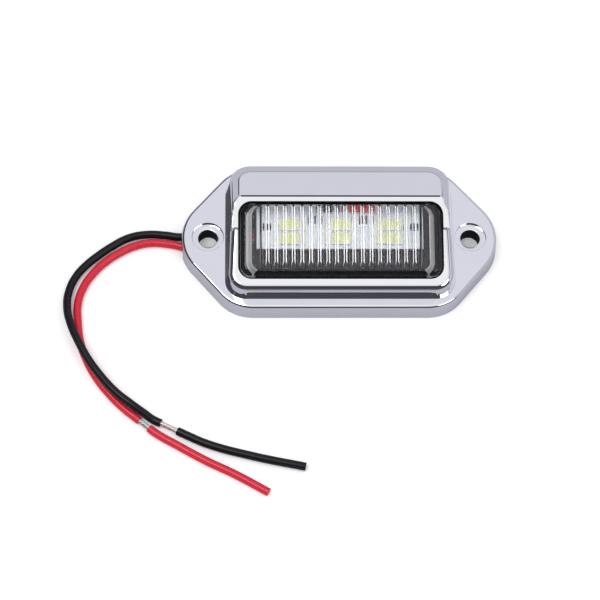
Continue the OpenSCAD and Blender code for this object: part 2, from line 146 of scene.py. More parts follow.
class LampSizes(bpy.types.PropertyGroup):
    """Sizes of the lamp's wires and small parts"""

    wire_d: length_field("Wire", "Outer diameter of a wire", 2 * MM)
    strand_d: length_field("Strands", "Diameter of the twisted strands", 1.2 * MM)
    strand_count: bpy.props.IntProperty(
        name="Strand count", description="Strands that show round the twist", default=7, min=3)
    face_tilt: angle_field("Face tilt", "Slope of the face that holds the lens", 13.8)
    face_front: length_field("Face front", "Distance from the middle to the face's front edge", 17.5 * MM)
    face_height: length_field("Face height", "Height of the face's front edge", 9.1 * MM)
    board_mid: length_field("Board middle", "Way up the face to the board's middle", 17.7 * MM)
    board_depth: length_field("Board depth", "Depth of the board's face behind the face", 5.5 * MM)
    led_l: length_field("LED length", "Length of one LED", 5.7 * MM)
    led_w: length_field("LED width", "Width of one LED", 3 * MM)
    led_h: length_field("LED height", "Height of one LED", 0.9 * MM)
    led_pitch: length_field("LED pitch", "Distance between the LED columns", 12.2 * MM)


class LampStudio(bpy.types.PropertyGroup):
    """Camera and light of the studio"""

    elevation: angle_field("Elevation", "Height of the camera above the horizon", 63.53)
    azimuth: angle_field("Azimuth", "Turn of the camera round the lamp", 3.622)
    roll: angle_field("Roll", "Turn of the camera round its own line of sight", 3.228)
    distance: length_field("Distance", "Distance from the camera to the lamp", 0.5)
    lens: bpy.props.FloatProperty(
        name="Focal length", description="Focal length on a 36 mm sensor", default=120.2, min=1)
    aim: bpy.props.FloatVectorProperty(
        name="Aim", description="How far the camera is moved across and up its picture", size=2,
        unit="LENGTH", default=(-8.833 * MM, -13.948 * MM))


ROUTES = {
    "black_wire": [
        (-25.5, 1.7, 1.2), (-27, 1.7, 1.2), (-28.3, 2.7, 1.1), (-29.6, 4, 1), (-31.4, 4.9, 1),
        (-33.4, 4.9, 1), (-35.2, 3.95, 1), (-37, 2.5, 1), (-39.2, 2, 1), (-43.3, 2.5, 1),
        (-47.5, 2.7, 1), (-52, 1.8, 1), (-56.5, -0.8, 1), (-59.7, -3.3, 1), (-62.5, -5.9, 1),
        (-65, -9.2, 1), (-66.5, -13.3, 1.2), (-66.7, -17.7, 2), (-65.7, -22.5, 2.9),
        (-63.6, -27.5, 3.2), (-61.2, -32, 3.15), (-58, -36.6, 3.1), (-54.3, -40.8, 3),
        (-50.6, -43.8, 2.7), (-47.4, -45.9, 1.7), (-45.2, -47.3, 1), (-43.4, -48.2, 1),
    ],
    "red_wire": [
        (-25.5, -1.7, 1.2), (-27, -1.7, 1.2), (-28.3, -2.7, 1.1), (-29.6, -4, 1), (-31.4, -4.8, 1),
        (-33.4, -4.7, 1), (-35.4, -3.7, 1), (-37.2, -1.7, 1), (-39.2, -0.7, 1), (-43, 0.1, 1),
        (-47, 0.3, 1), (-51, -0.7, 1), (-54.6, -2.6, 1), (-57.8, -5, 1), (-60.6, -8, 1),
        (-63, -12, 1), (-64.2, -16.5, 1), (-64, -21.8, 1), (-63.2, -27, 1), (-61.4, -32, 1),
        (-59, -36.4, 1), (-55.5, -41, 1), (-52, -44.6, 1), (-49.7, -46.5, 1), (-48.5, -47.5, 1),
    ],
    "black_strands": [(-43.4, -48.2, 1), (-39.4, -50.2, 1)],
    "red_strands": [(-48.5, -47.5, 1), (-46.1, -49.5, 1)],
    "black_end_sleeve": [
        (-39.4, -50.2, 1), (-37.4, -51.2, 1), (-32.4, -53.5, 1), (-21.4, -56.7, 1), (-9, -59.4, 1),
    ],
    "red_end_sleeve": [
        (-46.1, -49.5, 1), (-44.9, -50.5, 1), (-39, -54.1, 1), (-32.4, -57.9, 1), (-25.8, -61.2, 1),
        (-17.8, -65.8, 1),
    ],
}


def on_face(x, up, out):
    """Point on the sloping face that holds the lens: up the slope and out of it, in millimetres."""
    sizes = bpy.context.scene.lamp_sizes
    tilt = sizes.face_tilt
    return Vector((
        x * MM,
        (up * math.cos(tilt) - out * math.sin(tilt)) * MM - sizes.face_front,
        (up * math.sin(tilt) + out * math.cos(tilt)) * MM + sizes.face_height,
    ))


def out_of_face(place):
    """How far a point stands out of the sloping face, both in metres."""
    sizes = bpy.context.scene.lamp_sizes
    tilt = sizes.face_tilt
    return (place.z - sizes.face_height) * math.cos(tilt) - (place.y + sizes.face_front) * math.sin(tilt)


def ridge_place():
    """Place of the hood's ridge, in millimetres."""
    return on_face(0, WINDOW_MID + WINDOW_HALF_W + LIP_W, HOOD_STEP) / MM


def lead_routes():
    """Centre lines of the two inner leads, from the gland to the solder joints."""
    black = [
        (-22.5, 1.2, 4.6), (-22.5, 1.2, 5.4), (-22.5, 2.6, 7), (-22.5, 5.2, 8.2), (-21.6, 8.4, 9),
        (-18.45, 10, 9.5), (-14.4, 10.2, 9.7), (-11.03, 9.8, 10), (-8.1, 8.9, 10.4),
    ]
    red = [
        (-22.5, -1.2, 4.6), (-22.5, -1.2, 5.4), (-24.5, 0.1, 7.2), (-24.9, 4, 7.9), (-24, 8.8, 7.9),
        (-20.7, 12.6, 7.8), (-13.95, 13, 8), (-4.05, 13, 8), (4.05, 12.6, 8.2), (9, 11.4, 9),
        (11.59, 9.4, 9.9),
    ]
    black_end = [on_face(-5.6, 23.4, -4.4), on_face(-3.6, 22.2, -4.4), on_face(-2, 22.2, -4.4)]
    red_end = [
        on_face(10.58, 24.2, -4), on_face(7.88, 22.5, -4.4), on_face(5, 22.2, -4.4),
        on_face(2, 22.2, -4.4),
    ]
    return (
        [Vector(p) * MM for p in black] + black_end,
        [Vector(p) * MM for p in red] + red_end,
    )


def deselect():
    """Leave nothing selected, so that an operator acts only on what is added next."""
    bpy.ops.object.select_all(action="DESELECT")


def smooth_tube(name, points, radius):
    """Curve of one open spline through the points, as thick as a wire."""
    curve = bpy.data.curves.new(name, "CURVE")
    curve.dimensions = "3D"
    curve.resolution_u = 8
    curve.render_resolution_u = 8
    curve.bevel_depth = radius
    curve.bevel_resolution = 5
    curve.use_fill_caps = True
    spline = curve.splines.new("BEZIER")
    spline.bezier_points.add(len(points) - 1)
    for point, place in zip(spline.bezier_points, points):
        point.co = place
        point.handle_left_type = "AUTO"
        point.handle_right_type = "AUTO"
    tube = bpy.data.objects.new(name, curve)
    bpy.context.collection.objects.link(tube)
    return tube


def route(name):
    """Points of a free wire's centre line, in metres."""
    return [Vector(p) * MM for p in ROUTES[name]]


class Reading:
    """A socket's value: sums and products of such values add Math nodes."""

    def __init__(self, finish, socket):
        self.finish = finish
        self.socket = socket

    def math(self, operation, *others):
        """Value of a new Math node on this one and the others."""
        values = dict(enumerate((self, *others)))
        return self.finish.add("ShaderNodeMath", {"operation": operation}, values)

    def __add__(self, other):
        return self.math("ADD", other)

    def __sub__(self, other):
        return self.math("SUBTRACT", other)

    def __rsub__(self, other):
        return self.finish.add("ShaderNodeMath", {"operation": "SUBTRACT"}, {0: other, 1: self})

    def __mul__(self, other):
        return self.math("MULTIPLY", other)

    __radd__ = __add__
    __rmul__ = __mul__


class Finish:
    """A material whose nodes are added one by one."""

    def __init__(self, name, settings):
        self.material = bpy.data.materials.new(name)
        self.material.use_nodes = True
        self.tree = self.material.node_tree
        self.shader = self.tree.nodes["Principled BSDF"]
        self.output = self.tree.nodes["Material Output"]
        self.set(self.shader, settings)

    @classmethod
    def of_tree(cls, tree):
        """The same helpers for a node tree that is not a material's."""
        finish = cls.__new__(cls)
        finish.tree = tree
        return finish

    def set(self, node, values):
        """Set or link a node's sockets."""
        for key, value in values.items():
            if isinstance(value, Reading):
                self.tree.links.new(value.socket, node.inputs[key])
            else:
                node.inputs[key].default_value = value

    def add(self, kind, settings=None, values=None, output=0):
        """New node: its settings first, then the values or links of its sockets."""
        node = self.tree.nodes.new(kind)
        for key, value in (settings or {}).items():
            if key == "stops":
                while len(node.color_ramp.elements) < len(value):
                    node.color_ramp.elements.new(1.0)
                for element, (place, colour) in zip(node.color_ramp.elements, value):
                    element.position = place
                    element.color = (*colour, 1.0)
            else:
                setattr(node, key, value)
        self.set(node, values or {})
        return Reading(self, node.outputs[output])

    def place(self):
        """Coordinates in the piece's own frame."""
        return self.add("ShaderNodeTexCoord", output=3)

    def noise(self, scale, detail):
        """Cloudy 0 to 1 value, finer as the scale grows."""
        values = {"Vector": self.place(), "Scale": scale, "Detail": detail, "Roughness": 0.5}
        return self.add("ShaderNodeTexNoise", {"noise_dimensions": "3D"}, values)

    def above(self, value, edge, width):
        """0 below the edge, 1 above it, with a soft step as wide as width."""
        return self.add("ShaderNodeMapRange", {"interpolation_type": "SMOOTHSTEP"}, {
            "Value": value, "From Min": edge, "From Max": edge + width})

    def between(self, value, low, high):
        """A 0 to 1 value spread from low to high."""
        return value * (high - low) + low

    def blend(self, factor, first, second):
        """Mix of two colours."""
        node = self.tree.nodes.new("ShaderNodeMix")
        node.data_type = "RGBA"
        self.tree.links.new(factor.socket, node.inputs["Factor"])
        for socket, value in ((node.inputs[6], first), (node.inputs[7], second)):
            if isinstance(value, Reading):
                self.tree.links.new(value.socket, socket)
            else:
                socket.default_value = (*value, 1.0)
        return Reading(self, node.outputs[2])

    def bump(self, height, strength, distance):
        """Give the shader a relief."""
        normal = self.add(
            "ShaderNodeBump", {}, {"Height": height, "Strength": strength, "Distance": distance})
        self.set(self.shader, {"Normal": normal})

    def vary(self, **readings):
        """Link readings to the shader's sockets."""
        self.set(self.shader, {key.replace("_", " "): value for key, value in readings.items()})

    def finish_with(self, reading):
        """Link the last shader to the output."""
        self.tree.links.new(reading.socket, self.output.inputs["Surface"])


def tint(colour, share):
    """The colour times a share, and no channel above white."""
    return tuple(min(1.0, c * share) for c in colour)


def chrome_finish():
    """Bright plate with faint clouds in its colour, its haze and its relief."""
    colour = tuple(bpy.context.scene.lamp_colours.chrome)
    finish = Finish("chrome plate", {"Base Color": (*colour, 1), "Metallic": 1.0, "Roughness": 0.05})
    cloud = finish.noise(160, 4)
    haze = finish.noise(1400, 3)
    finish.vary(
        Base_Color=finish.blend(cloud, tint(colour, 0.97), tint(colour, 1.02)),
        Roughness=finish.between(haze, 0.03, 0.075))
    finish.bump(finish.noise(70, 2), 0.12, 0.0001)
    return finish.material


def lens_finish(name, roughness, clearness):
    """Clear plastic that lets lamp light fall straight through to the board; with little clearness it turns
    whitish, a painted highlight.
    """
    colour = tuple(bpy.context.scene.lamp_colours.clear)
    finish = Finish(name, {
        "Base Color": (*colour, 1), "Roughness": roughness, "IOR": 1.45,
        "Transmission Weight": clearness})
    finish.bump(finish.noise(90, 2), 0.05, 0.0001)
    shadow = finish.add("ShaderNodeLightPath", output="Is Shadow Ray")
    clear = finish.add("ShaderNodeBsdfTransparent", {}, {"Color": (*colour, 1)})
    surface = Reading(finish, finish.shader.outputs[0])
    finish.finish_with(finish.add("ShaderNodeMixShader", {}, {0: shadow, 1: surface, 2: clear}))
    return finish.material


def plain_finish(name, colour_name, roughness, grain, relief, settings):
    """Moulded, painted or metal surface with a fine grain in its colour, roughness and relief."""
    colour = tuple(getattr(bpy.context.scene.lamp_colours, colour_name))
    finish = Finish(name, {"Base Color": (*colour, 1), **settings})
    speck = finish.noise(grain, 4)
    finish.vary(
        Base_Color=finish.blend(speck, tint(colour, 0.9), tint(colour, 1.1)),
        Roughness=finish.between(speck, roughness - 0.05, roughness + 0.07))
    finish.bump(finish.noise(grain * 1.7, 3), relief, 0.0001)
    return finish.material


# Plain finishes by slot: name, colour property, roughness, grain, relief and other shader settings
PLAIN = {
    "white_board": ("white board", "board", 0.38, 900, 0.1, {}),
    "led_body": ("LED body", "led_body", 0.4, 1500, 0.08, {}),
    "phosphor": ("LED phosphor", "phosphor", 0.35, 2500, 0.15, {}),
    "resistor_ceramic": ("resistor glaze", "resistor", 0.3, 2000, 0.1, {}),
    "tin": ("tin", "tin", 0.28, 1800, 0.2, {"Metallic": 1.0}),
    "tinned_copper": ("tinned strands", "strands", 0.3, 2500, 0.15, {"Metallic": 1.0}),
    "black_plastic": (
        "black moulded plastic", "black_plastic", 0.5, 1100, 0.25, {"Specular IOR Level": 0.15}),
    "black_rubber": ("black rubber", "rubber", 0.6, 800, 0.3, {}),
    "black_wire_skin": ("black wire skin", "black_wire", 0.3, 500, 0.08, {"Specular IOR Level": 0.28}),
    "red_wire_skin": ("red wire skin", "red_wire", 0.27, 500, 0.08, {}),
}
FINISHES = {}


def finish_of(slot_name):
    """Material of one of the record's slots, or of a part of a piece, made once."""
    if slot_name not in FINISHES:
        if slot_name == "chrome_plastic":
            material = chrome_finish()
        elif slot_name == "clear_lens":
            material = lens_finish("clear lens", 0.015, 1.0)
        elif slot_name == "dull_lens":
            # painted highlight: little clearness makes the pocket's end walls whitish and lit, standing for
            # the bright arcs at the lens's ends
            material = lens_finish("dull lens edge", 0.3, 0.12)
        else:
            material = plain_finish(*PLAIN[slot_name])
        FINISHES[slot_name] = material
    return FINISHES[slot_name]


def settle(piece, slot_name, *nodes):
    """Give a new piece its finish, its body and the CAD nodes that it stands for."""
    if not piece.data.materials:
        piece.data.materials.append(finish_of(slot_name))
    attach(piece, "root")
    if nodes:
        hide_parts(*nodes)
    return piece


def edit(piece):
    """Open a piece in edit mode with nothing selected, and give its mesh."""
    deselect()
    bpy.context.view_layer.objects.active = piece
    piece.select_set(True)
    bpy.ops.object.mode_set(mode="EDIT")
    bpy.ops.mesh.select_mode(type="VERT")
    bpy.ops.mesh.select_all(action="DESELECT")
    return bmesh.from_edit_mesh(piece.data)


def leave():
    """Go back to object mode."""
    bpy.ops.object.mode_set(mode="OBJECT")


def pick(piece, kind, test):
    """Select the edges or faces that pass the test, and say how many they are."""
    edit(piece)
    bpy.ops.mesh.select_mode(type="EDGE" if kind == "edges" else "FACE")
    mesh = bmesh.from_edit_mesh(piece.data)
    chosen = [element for element in getattr(mesh, kind) if test(element)]
    for element in chosen:
        element.select_set(True)
    bmesh.update_edit_mesh(piece.data)
    return len(chosen)


def near(value, place, slack=0.02):
    """Whether a value in metres lies at a place in millimetres."""
    return abs(value - place * MM) < slack * MM


def along(height_at):
    """Test for edges whose ends lie as high as the function says for their y, in millimetres."""
    def test(edge):
        """Whether both ends of an edge lie at their height."""
        return all(near(v.co.z, height_at(v.co.y / MM)) for v in edge.verts)
    return test


def level(height):
    """Test for edges that lie at one height, in millimetres."""
    return along(lambda y: height)


def round_edges(piece, test, width, segments=6, clamp=True):
    """Round the edges that pass the test."""
    if not pick(piece, "edges", test):
        raise RuntimeError("no edge to round on " + piece.name)
    bpy.ops.mesh.bevel(offset=width * MM, segments=segments, affect="EDGES", clamp_overlap=clamp)
    leave()


def modify(piece, kind, **settings):
    """Add a modifier and apply it."""
    deselect()
    bpy.context.view_layer.objects.active = piece
    piece.select_set(True)
    modifier = piece.modifiers.new(kind.lower(), kind)
    for key, value in settings.items():
        setattr(modifier, key, value)
    bpy.ops.object.modifier_apply(modifier=modifier.name)


def combine(piece, other, operation):
    """Join, cut or cross a piece with another, which is used up."""
    modify(piece, "BOOLEAN", object=other, operation=operation, solver="EXACT")
    bpy.data.objects.remove(other)


def loft(name, *rings):
    """Closed piece through rings of (x, y, z) in millimetres that have the same number of points."""
    deselect()
    bpy.ops.mesh.primitive_circle_add(vertices=len(rings[0]), radius=1, fill_type="NGON")
    piece = bpy.context.object
    piece.name = name
    for vertex, point in zip(piece.data.vertices, rings[0]):
        vertex.co = Vector(point) * MM
    bpy.ops.object.mode_set(mode="EDIT")
    bpy.ops.mesh.select_all(action="SELECT")
    for before, ring in zip(rings, rings[1:]):
        bpy.ops.mesh.extrude_region_move()
        mesh = bmesh.from_edit_mesh(piece.data)
        for vertex in [v for v in mesh.verts if v.select]:
            number = min(range(len(before)), key=lambda i: (Vector(before[i]) * MM - vertex.co).length)
            vertex.co = Vector(ring[number]) * MM
        bmesh.update_edit_mesh(piece.data)
    leave()
    edit(piece)
    bpy.ops.mesh.select_all(action="SELECT")
    bpy.ops.mesh.normals_make_consistent(inside=False)
    leave()
    return piece


def plate(name, outline, low, high):
    """Prism over an outline of (x, y) in millimetres, from one height to another."""
    return loft(name, [(x, y, low) for x, y in outline], [(x, y, high) for x, y in outline])


def arc(centre, radius, start, end, steps):
    """Points on an arc in millimetres, from one angle in degrees to another."""
    angles = [math.radians(start + (end - start) * i / steps) for i in range(steps + 1)]
    return [(centre[0] + radius * math.cos(a), centre[1] + radius * math.sin(a)) for a in angles]


def circle(radius, steps=64):
    """Round outline about the origin."""
    return arc((0, 0), radius, 0, 360 - 360 / steps, steps - 1)


def round_rectangle(half_x, low_y, high_y, radius, steps=12, rear_radius=None):
    """Outline of a rectangle with round corners."""
    rear = rear_radius or radius
    return (
        arc((half_x - rear, high_y - rear), rear, 0, 90, steps)
        + arc((rear - half_x, high_y - rear), rear, 90, 180, steps)
        + arc((radius - half_x, low_y + radius), radius, 180, 270, steps)
        + arc((half_x - radius, low_y + radius), radius, 270, 360, steps))


def window_outline(grow, middle=0.0):
    """Outline of the window, or of what keeps a distance to it, about a middle up the slope."""
    half_w = WINDOW_HALF_W + grow
    return round_rectangle(WINDOW_HALF_L + grow, middle - half_w, middle + half_w, WINDOW_CORNER + grow)


def flange_outline(grow=0.0, steps=24):
    """Outline of the flange: two pointed ends and four blunt corners, all round arcs."""
    tip_x, tip_r, corner_x, corner_y, corner_r = 27.0, 12.0, 21.3, 9.1, 10.5
    slant = math.atan2(corner_y, corner_x - tip_x)
    reach = math.hypot(corner_x - tip_x, corner_y)
    turn = math.degrees(slant - math.acos((tip_r - corner_r) / reach))
    quarter = (
        arc((tip_x, 0), tip_r + grow, 0, turn, steps)
        + arc((corner_x, corner_y), corner_r + grow, turn, 90, steps // 2))
    left = [(-x, y) for x, y in reversed(quarter)]
    upper = quarter + left
    lower = [(x, -y) for x, y in reversed(upper)]
    return upper + lower[1:-1]


def polish(piece, angle=28):
    """Smooth shading that leaves flat faces flat."""
    deselect()
    bpy.context.view_layer.objects.active = piece
    piece.select_set(True)
    bpy.ops.object.shade_smooth_by_angle(angle=math.radians(angle))
    modify(piece, "WEIGHTED_NORMAL", keep_sharp=True, weight=100)


class LAMP_OT_camera(bpy.types.Operator):
    """Set the camera as the photograph was taken"""

    bl_idname = "lamp.camera"
    bl_label = "Camera"

    def execute(self, context):
        studio = context.scene.lamp_studio
        el, az = studio.elevation, studio.azimuth
        back = Vector((-math.sin(az) * math.cos(el), -math.cos(az) * math.cos(el), math.sin(el)))
        right = Vector((math.cos(az), -math.sin(az), 0))
        up = back.cross(right)
        place = studio.distance * back + studio.aim[0] * right + studio.aim[1] * up
        across = right * math.cos(studio.roll) + up * math.sin(studio.roll)
        over = up * math.cos(studio.roll) - right * math.sin(studio.roll)
        data = bpy.data.cameras.new("camera")
        data.sensor_width = 36
        data.lens = studio.lens
        data.clip_start = 0.01
        data.clip_end = 20
        camera = bpy.data.objects.new("camera", data)
        context.collection.objects.link(camera)
        turn = Matrix((across, over, back)).transposed().to_4x4()
        camera.matrix_world = Matrix.Translation(place) @ turn
        context.scene.camera = camera
        return {"FINISHED"}


class LAMP_OT_wires(bpy.types.Operator):
    """Lay the two free wires, their bare strands and the sleeves on their ends"""

    bl_idname = "lamp.wires"
    bl_label = "Free wires"

    def execute(self, context):
        sizes = context.scene.lamp_sizes
        for colour in ("black", "red"):
            wire = self.tube(colour + "_wire", colour + "_wire_skin", sizes.wire_d)
            strands = self.strands(colour + "_strands", sizes)
            sleeve = self.tube(colour + "_end_sleeve", colour + "_wire_skin", sizes.wire_d)
        return {"FINISHED"}

    def tube(self, name, slot_name, diameter):
        """Skin of a wire or sleeve along its route."""
        return settle(smooth_tube(name + "_skin", route(name), diameter / 2), slot_name, name)

    def strands(self, name, sizes):
        """Bundle of thin strands that turn round the bare stretch's own line."""
        start, end = route(name)
        along = (end - start).normalized()
        aside = along.cross(Vector((0, 0, 1))).normalized()
        over = aside.cross(along)
        count, steps, turns = sizes.strand_count, 16, 0.45
        strand_r = sizes.strand_d * 0.17
        radius = sizes.strand_d / 2 - strand_r
        curve = bpy.data.curves.new(name + "_twist", "CURVE")
        curve.dimensions = "3D"
        curve.bevel_depth = strand_r
        curve.bevel_resolution = 2
        curve.use_fill_caps = True
        for number in range(count + 1):
            spline = curve.splines.new("POLY")
            spline.points.add(steps)
            for step, point in enumerate(spline.points):
                share = step / steps
                turn = math.tau * (number / count + turns * share)
                offset = 0 if number == count else radius
                place = start.lerp(end, share) + offset * (math.cos(turn) * aside + math.sin(turn) * over)
                point.co = (*place, 1)
        piece = bpy.data.objects.new(name + "_twist", curve)
        bpy.context.collection.objects.link(piece)
        return settle(piece, "tinned_copper", name)


class LAMP_OT_leads(bpy.types.Operator):
    """Lay the two inner leads from the gland to the board"""

    bl_idname = "lamp.leads"
    bl_label = "Inner leads"

    def execute(self, context):
        radius = context.scene.lamp_sizes.wire_d / 2
        for colour, points in zip(("black", "red"), lead_routes()):
            name = colour + "_inner_lead"
            settle(smooth_tube(name + "_skin", points, radius), colour + "_wire_skin", name)
        return {"FINISHED"}


def on_slope(piece, x, up, out):
    """Move a piece's mesh, modelled about the origin, to its place on the sloping face."""
    tilt = bpy.context.scene.lamp_sizes.face_tilt
    piece.data.transform(Matrix.Translation(on_face(x, up, out)) @ Matrix.Rotation(tilt, 4, "X"))


def shift(piece, x, y=0.0):
    """Move a piece's mesh along x and y, in millimetres."""
    piece.data.transform(Matrix.Translation((x * MM, y * MM, 0)))
    return piece


def copies(model, names):
    """One copy of the model under each name, each with its own mesh. The model itself goes."""
    made = []
    for name in names:
        piece = model.copy()
        piece.data = model.data.copy()
        piece.name = name
        bpy.context.collection.objects.link(piece)
        made.append(piece)
    bpy.data.objects.remove(model)
    return made


def block(name, length, width, low, high):
    """Box about the origin, in millimetres, with its scale in its mesh."""
    deselect()
    bpy.ops.mesh.primitive_cube_add(size=1)
    piece = bpy.context.object
    piece.name = name
    piece.data.transform(
        Matrix.Translation((0, 0, (low + high) / 2 * MM))
        @ Matrix.Diagonal((length * MM, width * MM, (high - low) * MM, 1)))
    return piece


def bar(name, outline, half):
    """Prism along x over an outline of (y, z) in millimetres, from -half to half."""
    piece = plate(name, outline, -half, half)
    for vertex in piece.data.vertices:
        vertex.co = (vertex.co.z, vertex.co.x, vertex.co.y)
    return piece


def merge(pieces):
    """Join several pieces into the first."""
    deselect()
    for piece in pieces:
        piece.select_set(True)
    bpy.context.view_layer.objects.active = pieces[0]
    bpy.ops.object.join()
    return pieces[0]


def paint(piece, slot_names, number_of=lambda face: 0):
    """Give a piece its materials, and each face the number of one of them."""
    piece.data.materials.clear()
    for name in slot_names:
        piece.data.materials.append(finish_of(name))
    for face in piece.data.polygons:
        face.material_index = number_of(face)


class LAMP_OT_lens(bpy.types.Operator):
    """Model the clear lens: pillow that stands out of the window, seating edge and inner flutes"""

    bl_idname = "lamp.lens"
    bl_label = "Lens"

    def execute(self, context):
        piece = plate("lens_cap", window_outline(-LENS_PLAY), LENS_FOOT, LENS_TOP)
        round_edges(piece, level(LENS_TOP), LENS_EDGE, 12)
        piece.data.transform(Matrix.Diagonal((1, 1, LENS_PRESS, 1)))
        paint(piece, LENS_SLOTS)
        seat = plate("seat", window_outline(SEAT_EDGE), SEAT_FOOT, SEAT_TOP)
        # painted shade: the seating edge is clear plastic, painted black for the shade inside the housing
        paint(seat, LENS_SLOTS, lambda face: 2)
        combine(piece, seat, "UNION")
        combine(piece, self.pocket(), "DIFFERENCE")
        round_edges(piece, level(POCKET_ROOF), 0.5, 5)
        combine(piece, self.flutes(), "DIFFERENCE")
        polish(piece, 40)
        on_slope(piece, 0, WINDOW_MID, 0)
        settle(piece, "clear_lens", "lens")
        return {"FINISHED"}

    def pocket(self):
        """Hollow of the lens; its end faces are whitish and dull, a painted highlight for the bright arcs
        at the lens's ends.
        """
        deep, shallow = round_rectangle(23.3, -7.9, 8.8, 2.6), round_rectangle(21.7, -7.6, 8.6, 2.4)
        pocket = loft("pocket", [(x, y, -4) for x, y in deep], [(x, y, POCKET_ROOF) for x, y in shallow])
        # painted highlight: the pocket's end faces get the whitish lens edge finish
        paint(pocket, LENS_SLOTS, lambda face: int(abs(face.normal.x) > 0.4))
        return pocket

    def flutes(self):
        """Row of round grooves that run up the inner side of the lens and taper at their lower ends."""
        rings = [
            [(x, y, z + FLUTE_OUT) for x, z in circle(radius, 40)]
            for y, radius in ((8.7, FLUTE_R), (-5.2, FLUTE_R), (-7.6, FLUTE_TIP_R))]
        rows = copies(loft("flute", *rings), ["flute"] * (2 * FLUTES_EACH_SIDE + 1))
        for number, flute in enumerate(rows):
            shift(flute, (number - FLUTES_EACH_SIDE) * FLUTE_PITCH)
        return merge(rows)


class LAMP_OT_lights(bpy.types.Operator):
    """Model one LED and copy it to its six places"""

    bl_idname = "lamp.lights"
    bl_label = "LEDs"

    def execute(self, context):
        sizes = context.scene.lamp_sizes
        pieces = copies(self.model(sizes), ["led_%d_body" % number for number in range(1, 7)])
        for number, piece in enumerate(pieces):
            row, column = divmod(number, 3)
            up = sizes.board_mid / MM + LED_ROW_UP - row * LED_ROW_STEP
            on_slope(piece, (column - 1) * sizes.led_pitch / MM, up, -sizes.board_depth / MM)
            settle(piece, "led_body", "led_%d" % (number + 1))
        return {"FINISHED"}

    def model(self, sizes):
        """Moulded body with a sunken bed of phosphor and four tin tabs at its ends."""
        length, width, height = (v / MM for v in (sizes.led_l, sizes.led_w, sizes.led_h))
        tab_l, tab_w, tab_h, tab_y = 0.2, 0.7, 0.25, 0.75
        rim, slant, bed_depth = 0.12, 0.1, 0.14
        body = block("led_model", length - tab_l, width, 0, height)
        round_edges(body, lambda e: abs(e.verts[0].co.z - e.verts[1].co.z) > 0.5 * MM, 0.22, 3)
        pick(body, "faces", lambda f: f.normal.z > 0.99)
        bpy.ops.mesh.inset(thickness=rim * MM, depth=0)
        bpy.ops.mesh.inset(thickness=slant * MM, depth=-bed_depth * MM)
        leave()
        bed_z = height - bed_depth
        paint(body, LED_SLOTS, lambda f: int(f.normal.z > 0.99 and near(f.center.z, bed_z, 0.03)))
        tab = block("tab", tab_l, tab_w, 0, tab_h)
        paint(tab, LED_SLOTS, lambda face: 2)
        tabs = copies(tab, ["tab"] * 4)
        for number, tab in enumerate(tabs):
            side, half = number // 2 * 2 - 1, number % 2 * 2 - 1
            shift(tab, side * (length - tab_l) / 2, half * tab_y)
        piece = merge([body, *tabs])
        polish(piece)
        return piece


class LAMP_OT_small_parts(bpy.types.Operator):
    """Model the resistors and the solder joints on the board"""

    bl_idname = "lamp.small_parts"
    bl_label = "Small parts"

    def execute(self, context):
        self.put(self.resistor(), "_body", "resistor_ceramic", ("resistor_1", "resistor_2"), 6.1, 19.4)
        joints = ("black_solder_joint", "red_solder_joint")
        self.put(self.solder_joint(), "_blob", "tin", joints, 1.2, 22.1)
        return {"FINISHED"}

    def put(self, model, ending, slot_name, nodes, aside, up):
        """Two copies of the model on the board, one to each side of its middle."""
        depth = bpy.context.scene.lamp_sizes.board_depth / MM
        pieces = copies(model, [node + ending for node in nodes])
        for side, node, piece in zip((-1, 1), nodes, pieces):
            on_slope(piece, side * aside, up, -depth)
            settle(piece, slot_name, node)

    def resistor(self):
        """Glazed body between two tin caps."""
        body = block("resistor_model", 1.5, 2.2, 0, 0.58)
        paint(body, RESISTOR_SLOTS)
        cap = block("cap", 1.6, 0.5, 0, 0.6)
        round_edges(cap, lambda edge: True, 0.08, 3)
        paint(cap, RESISTOR_SLOTS, lambda face: 1)
        caps = copies(cap, ["cap"] * 2)
        for side, cap in zip((-1, 1), caps):
            shift(cap, 0, side * 1.35)
        piece = merge([body, *caps])
        polish(piece)
        return piece

    def solder_joint(self):
        """Upper half of a ball."""
        deselect()
        bpy.ops.mesh.primitive_uv_sphere_add(segments=32, ring_count=16, radius=0.8 * MM)
        piece = bpy.context.object
        edit(piece)
        bpy.ops.mesh.select_all(action="SELECT")
        bpy.ops.mesh.bisect(
            plane_co=(0, 0, 0), plane_no=(0, 0, 1), use_fill=True, clear_inner=True, threshold=1e-7)
        leave()
        polish(piece, 50)
        return piece


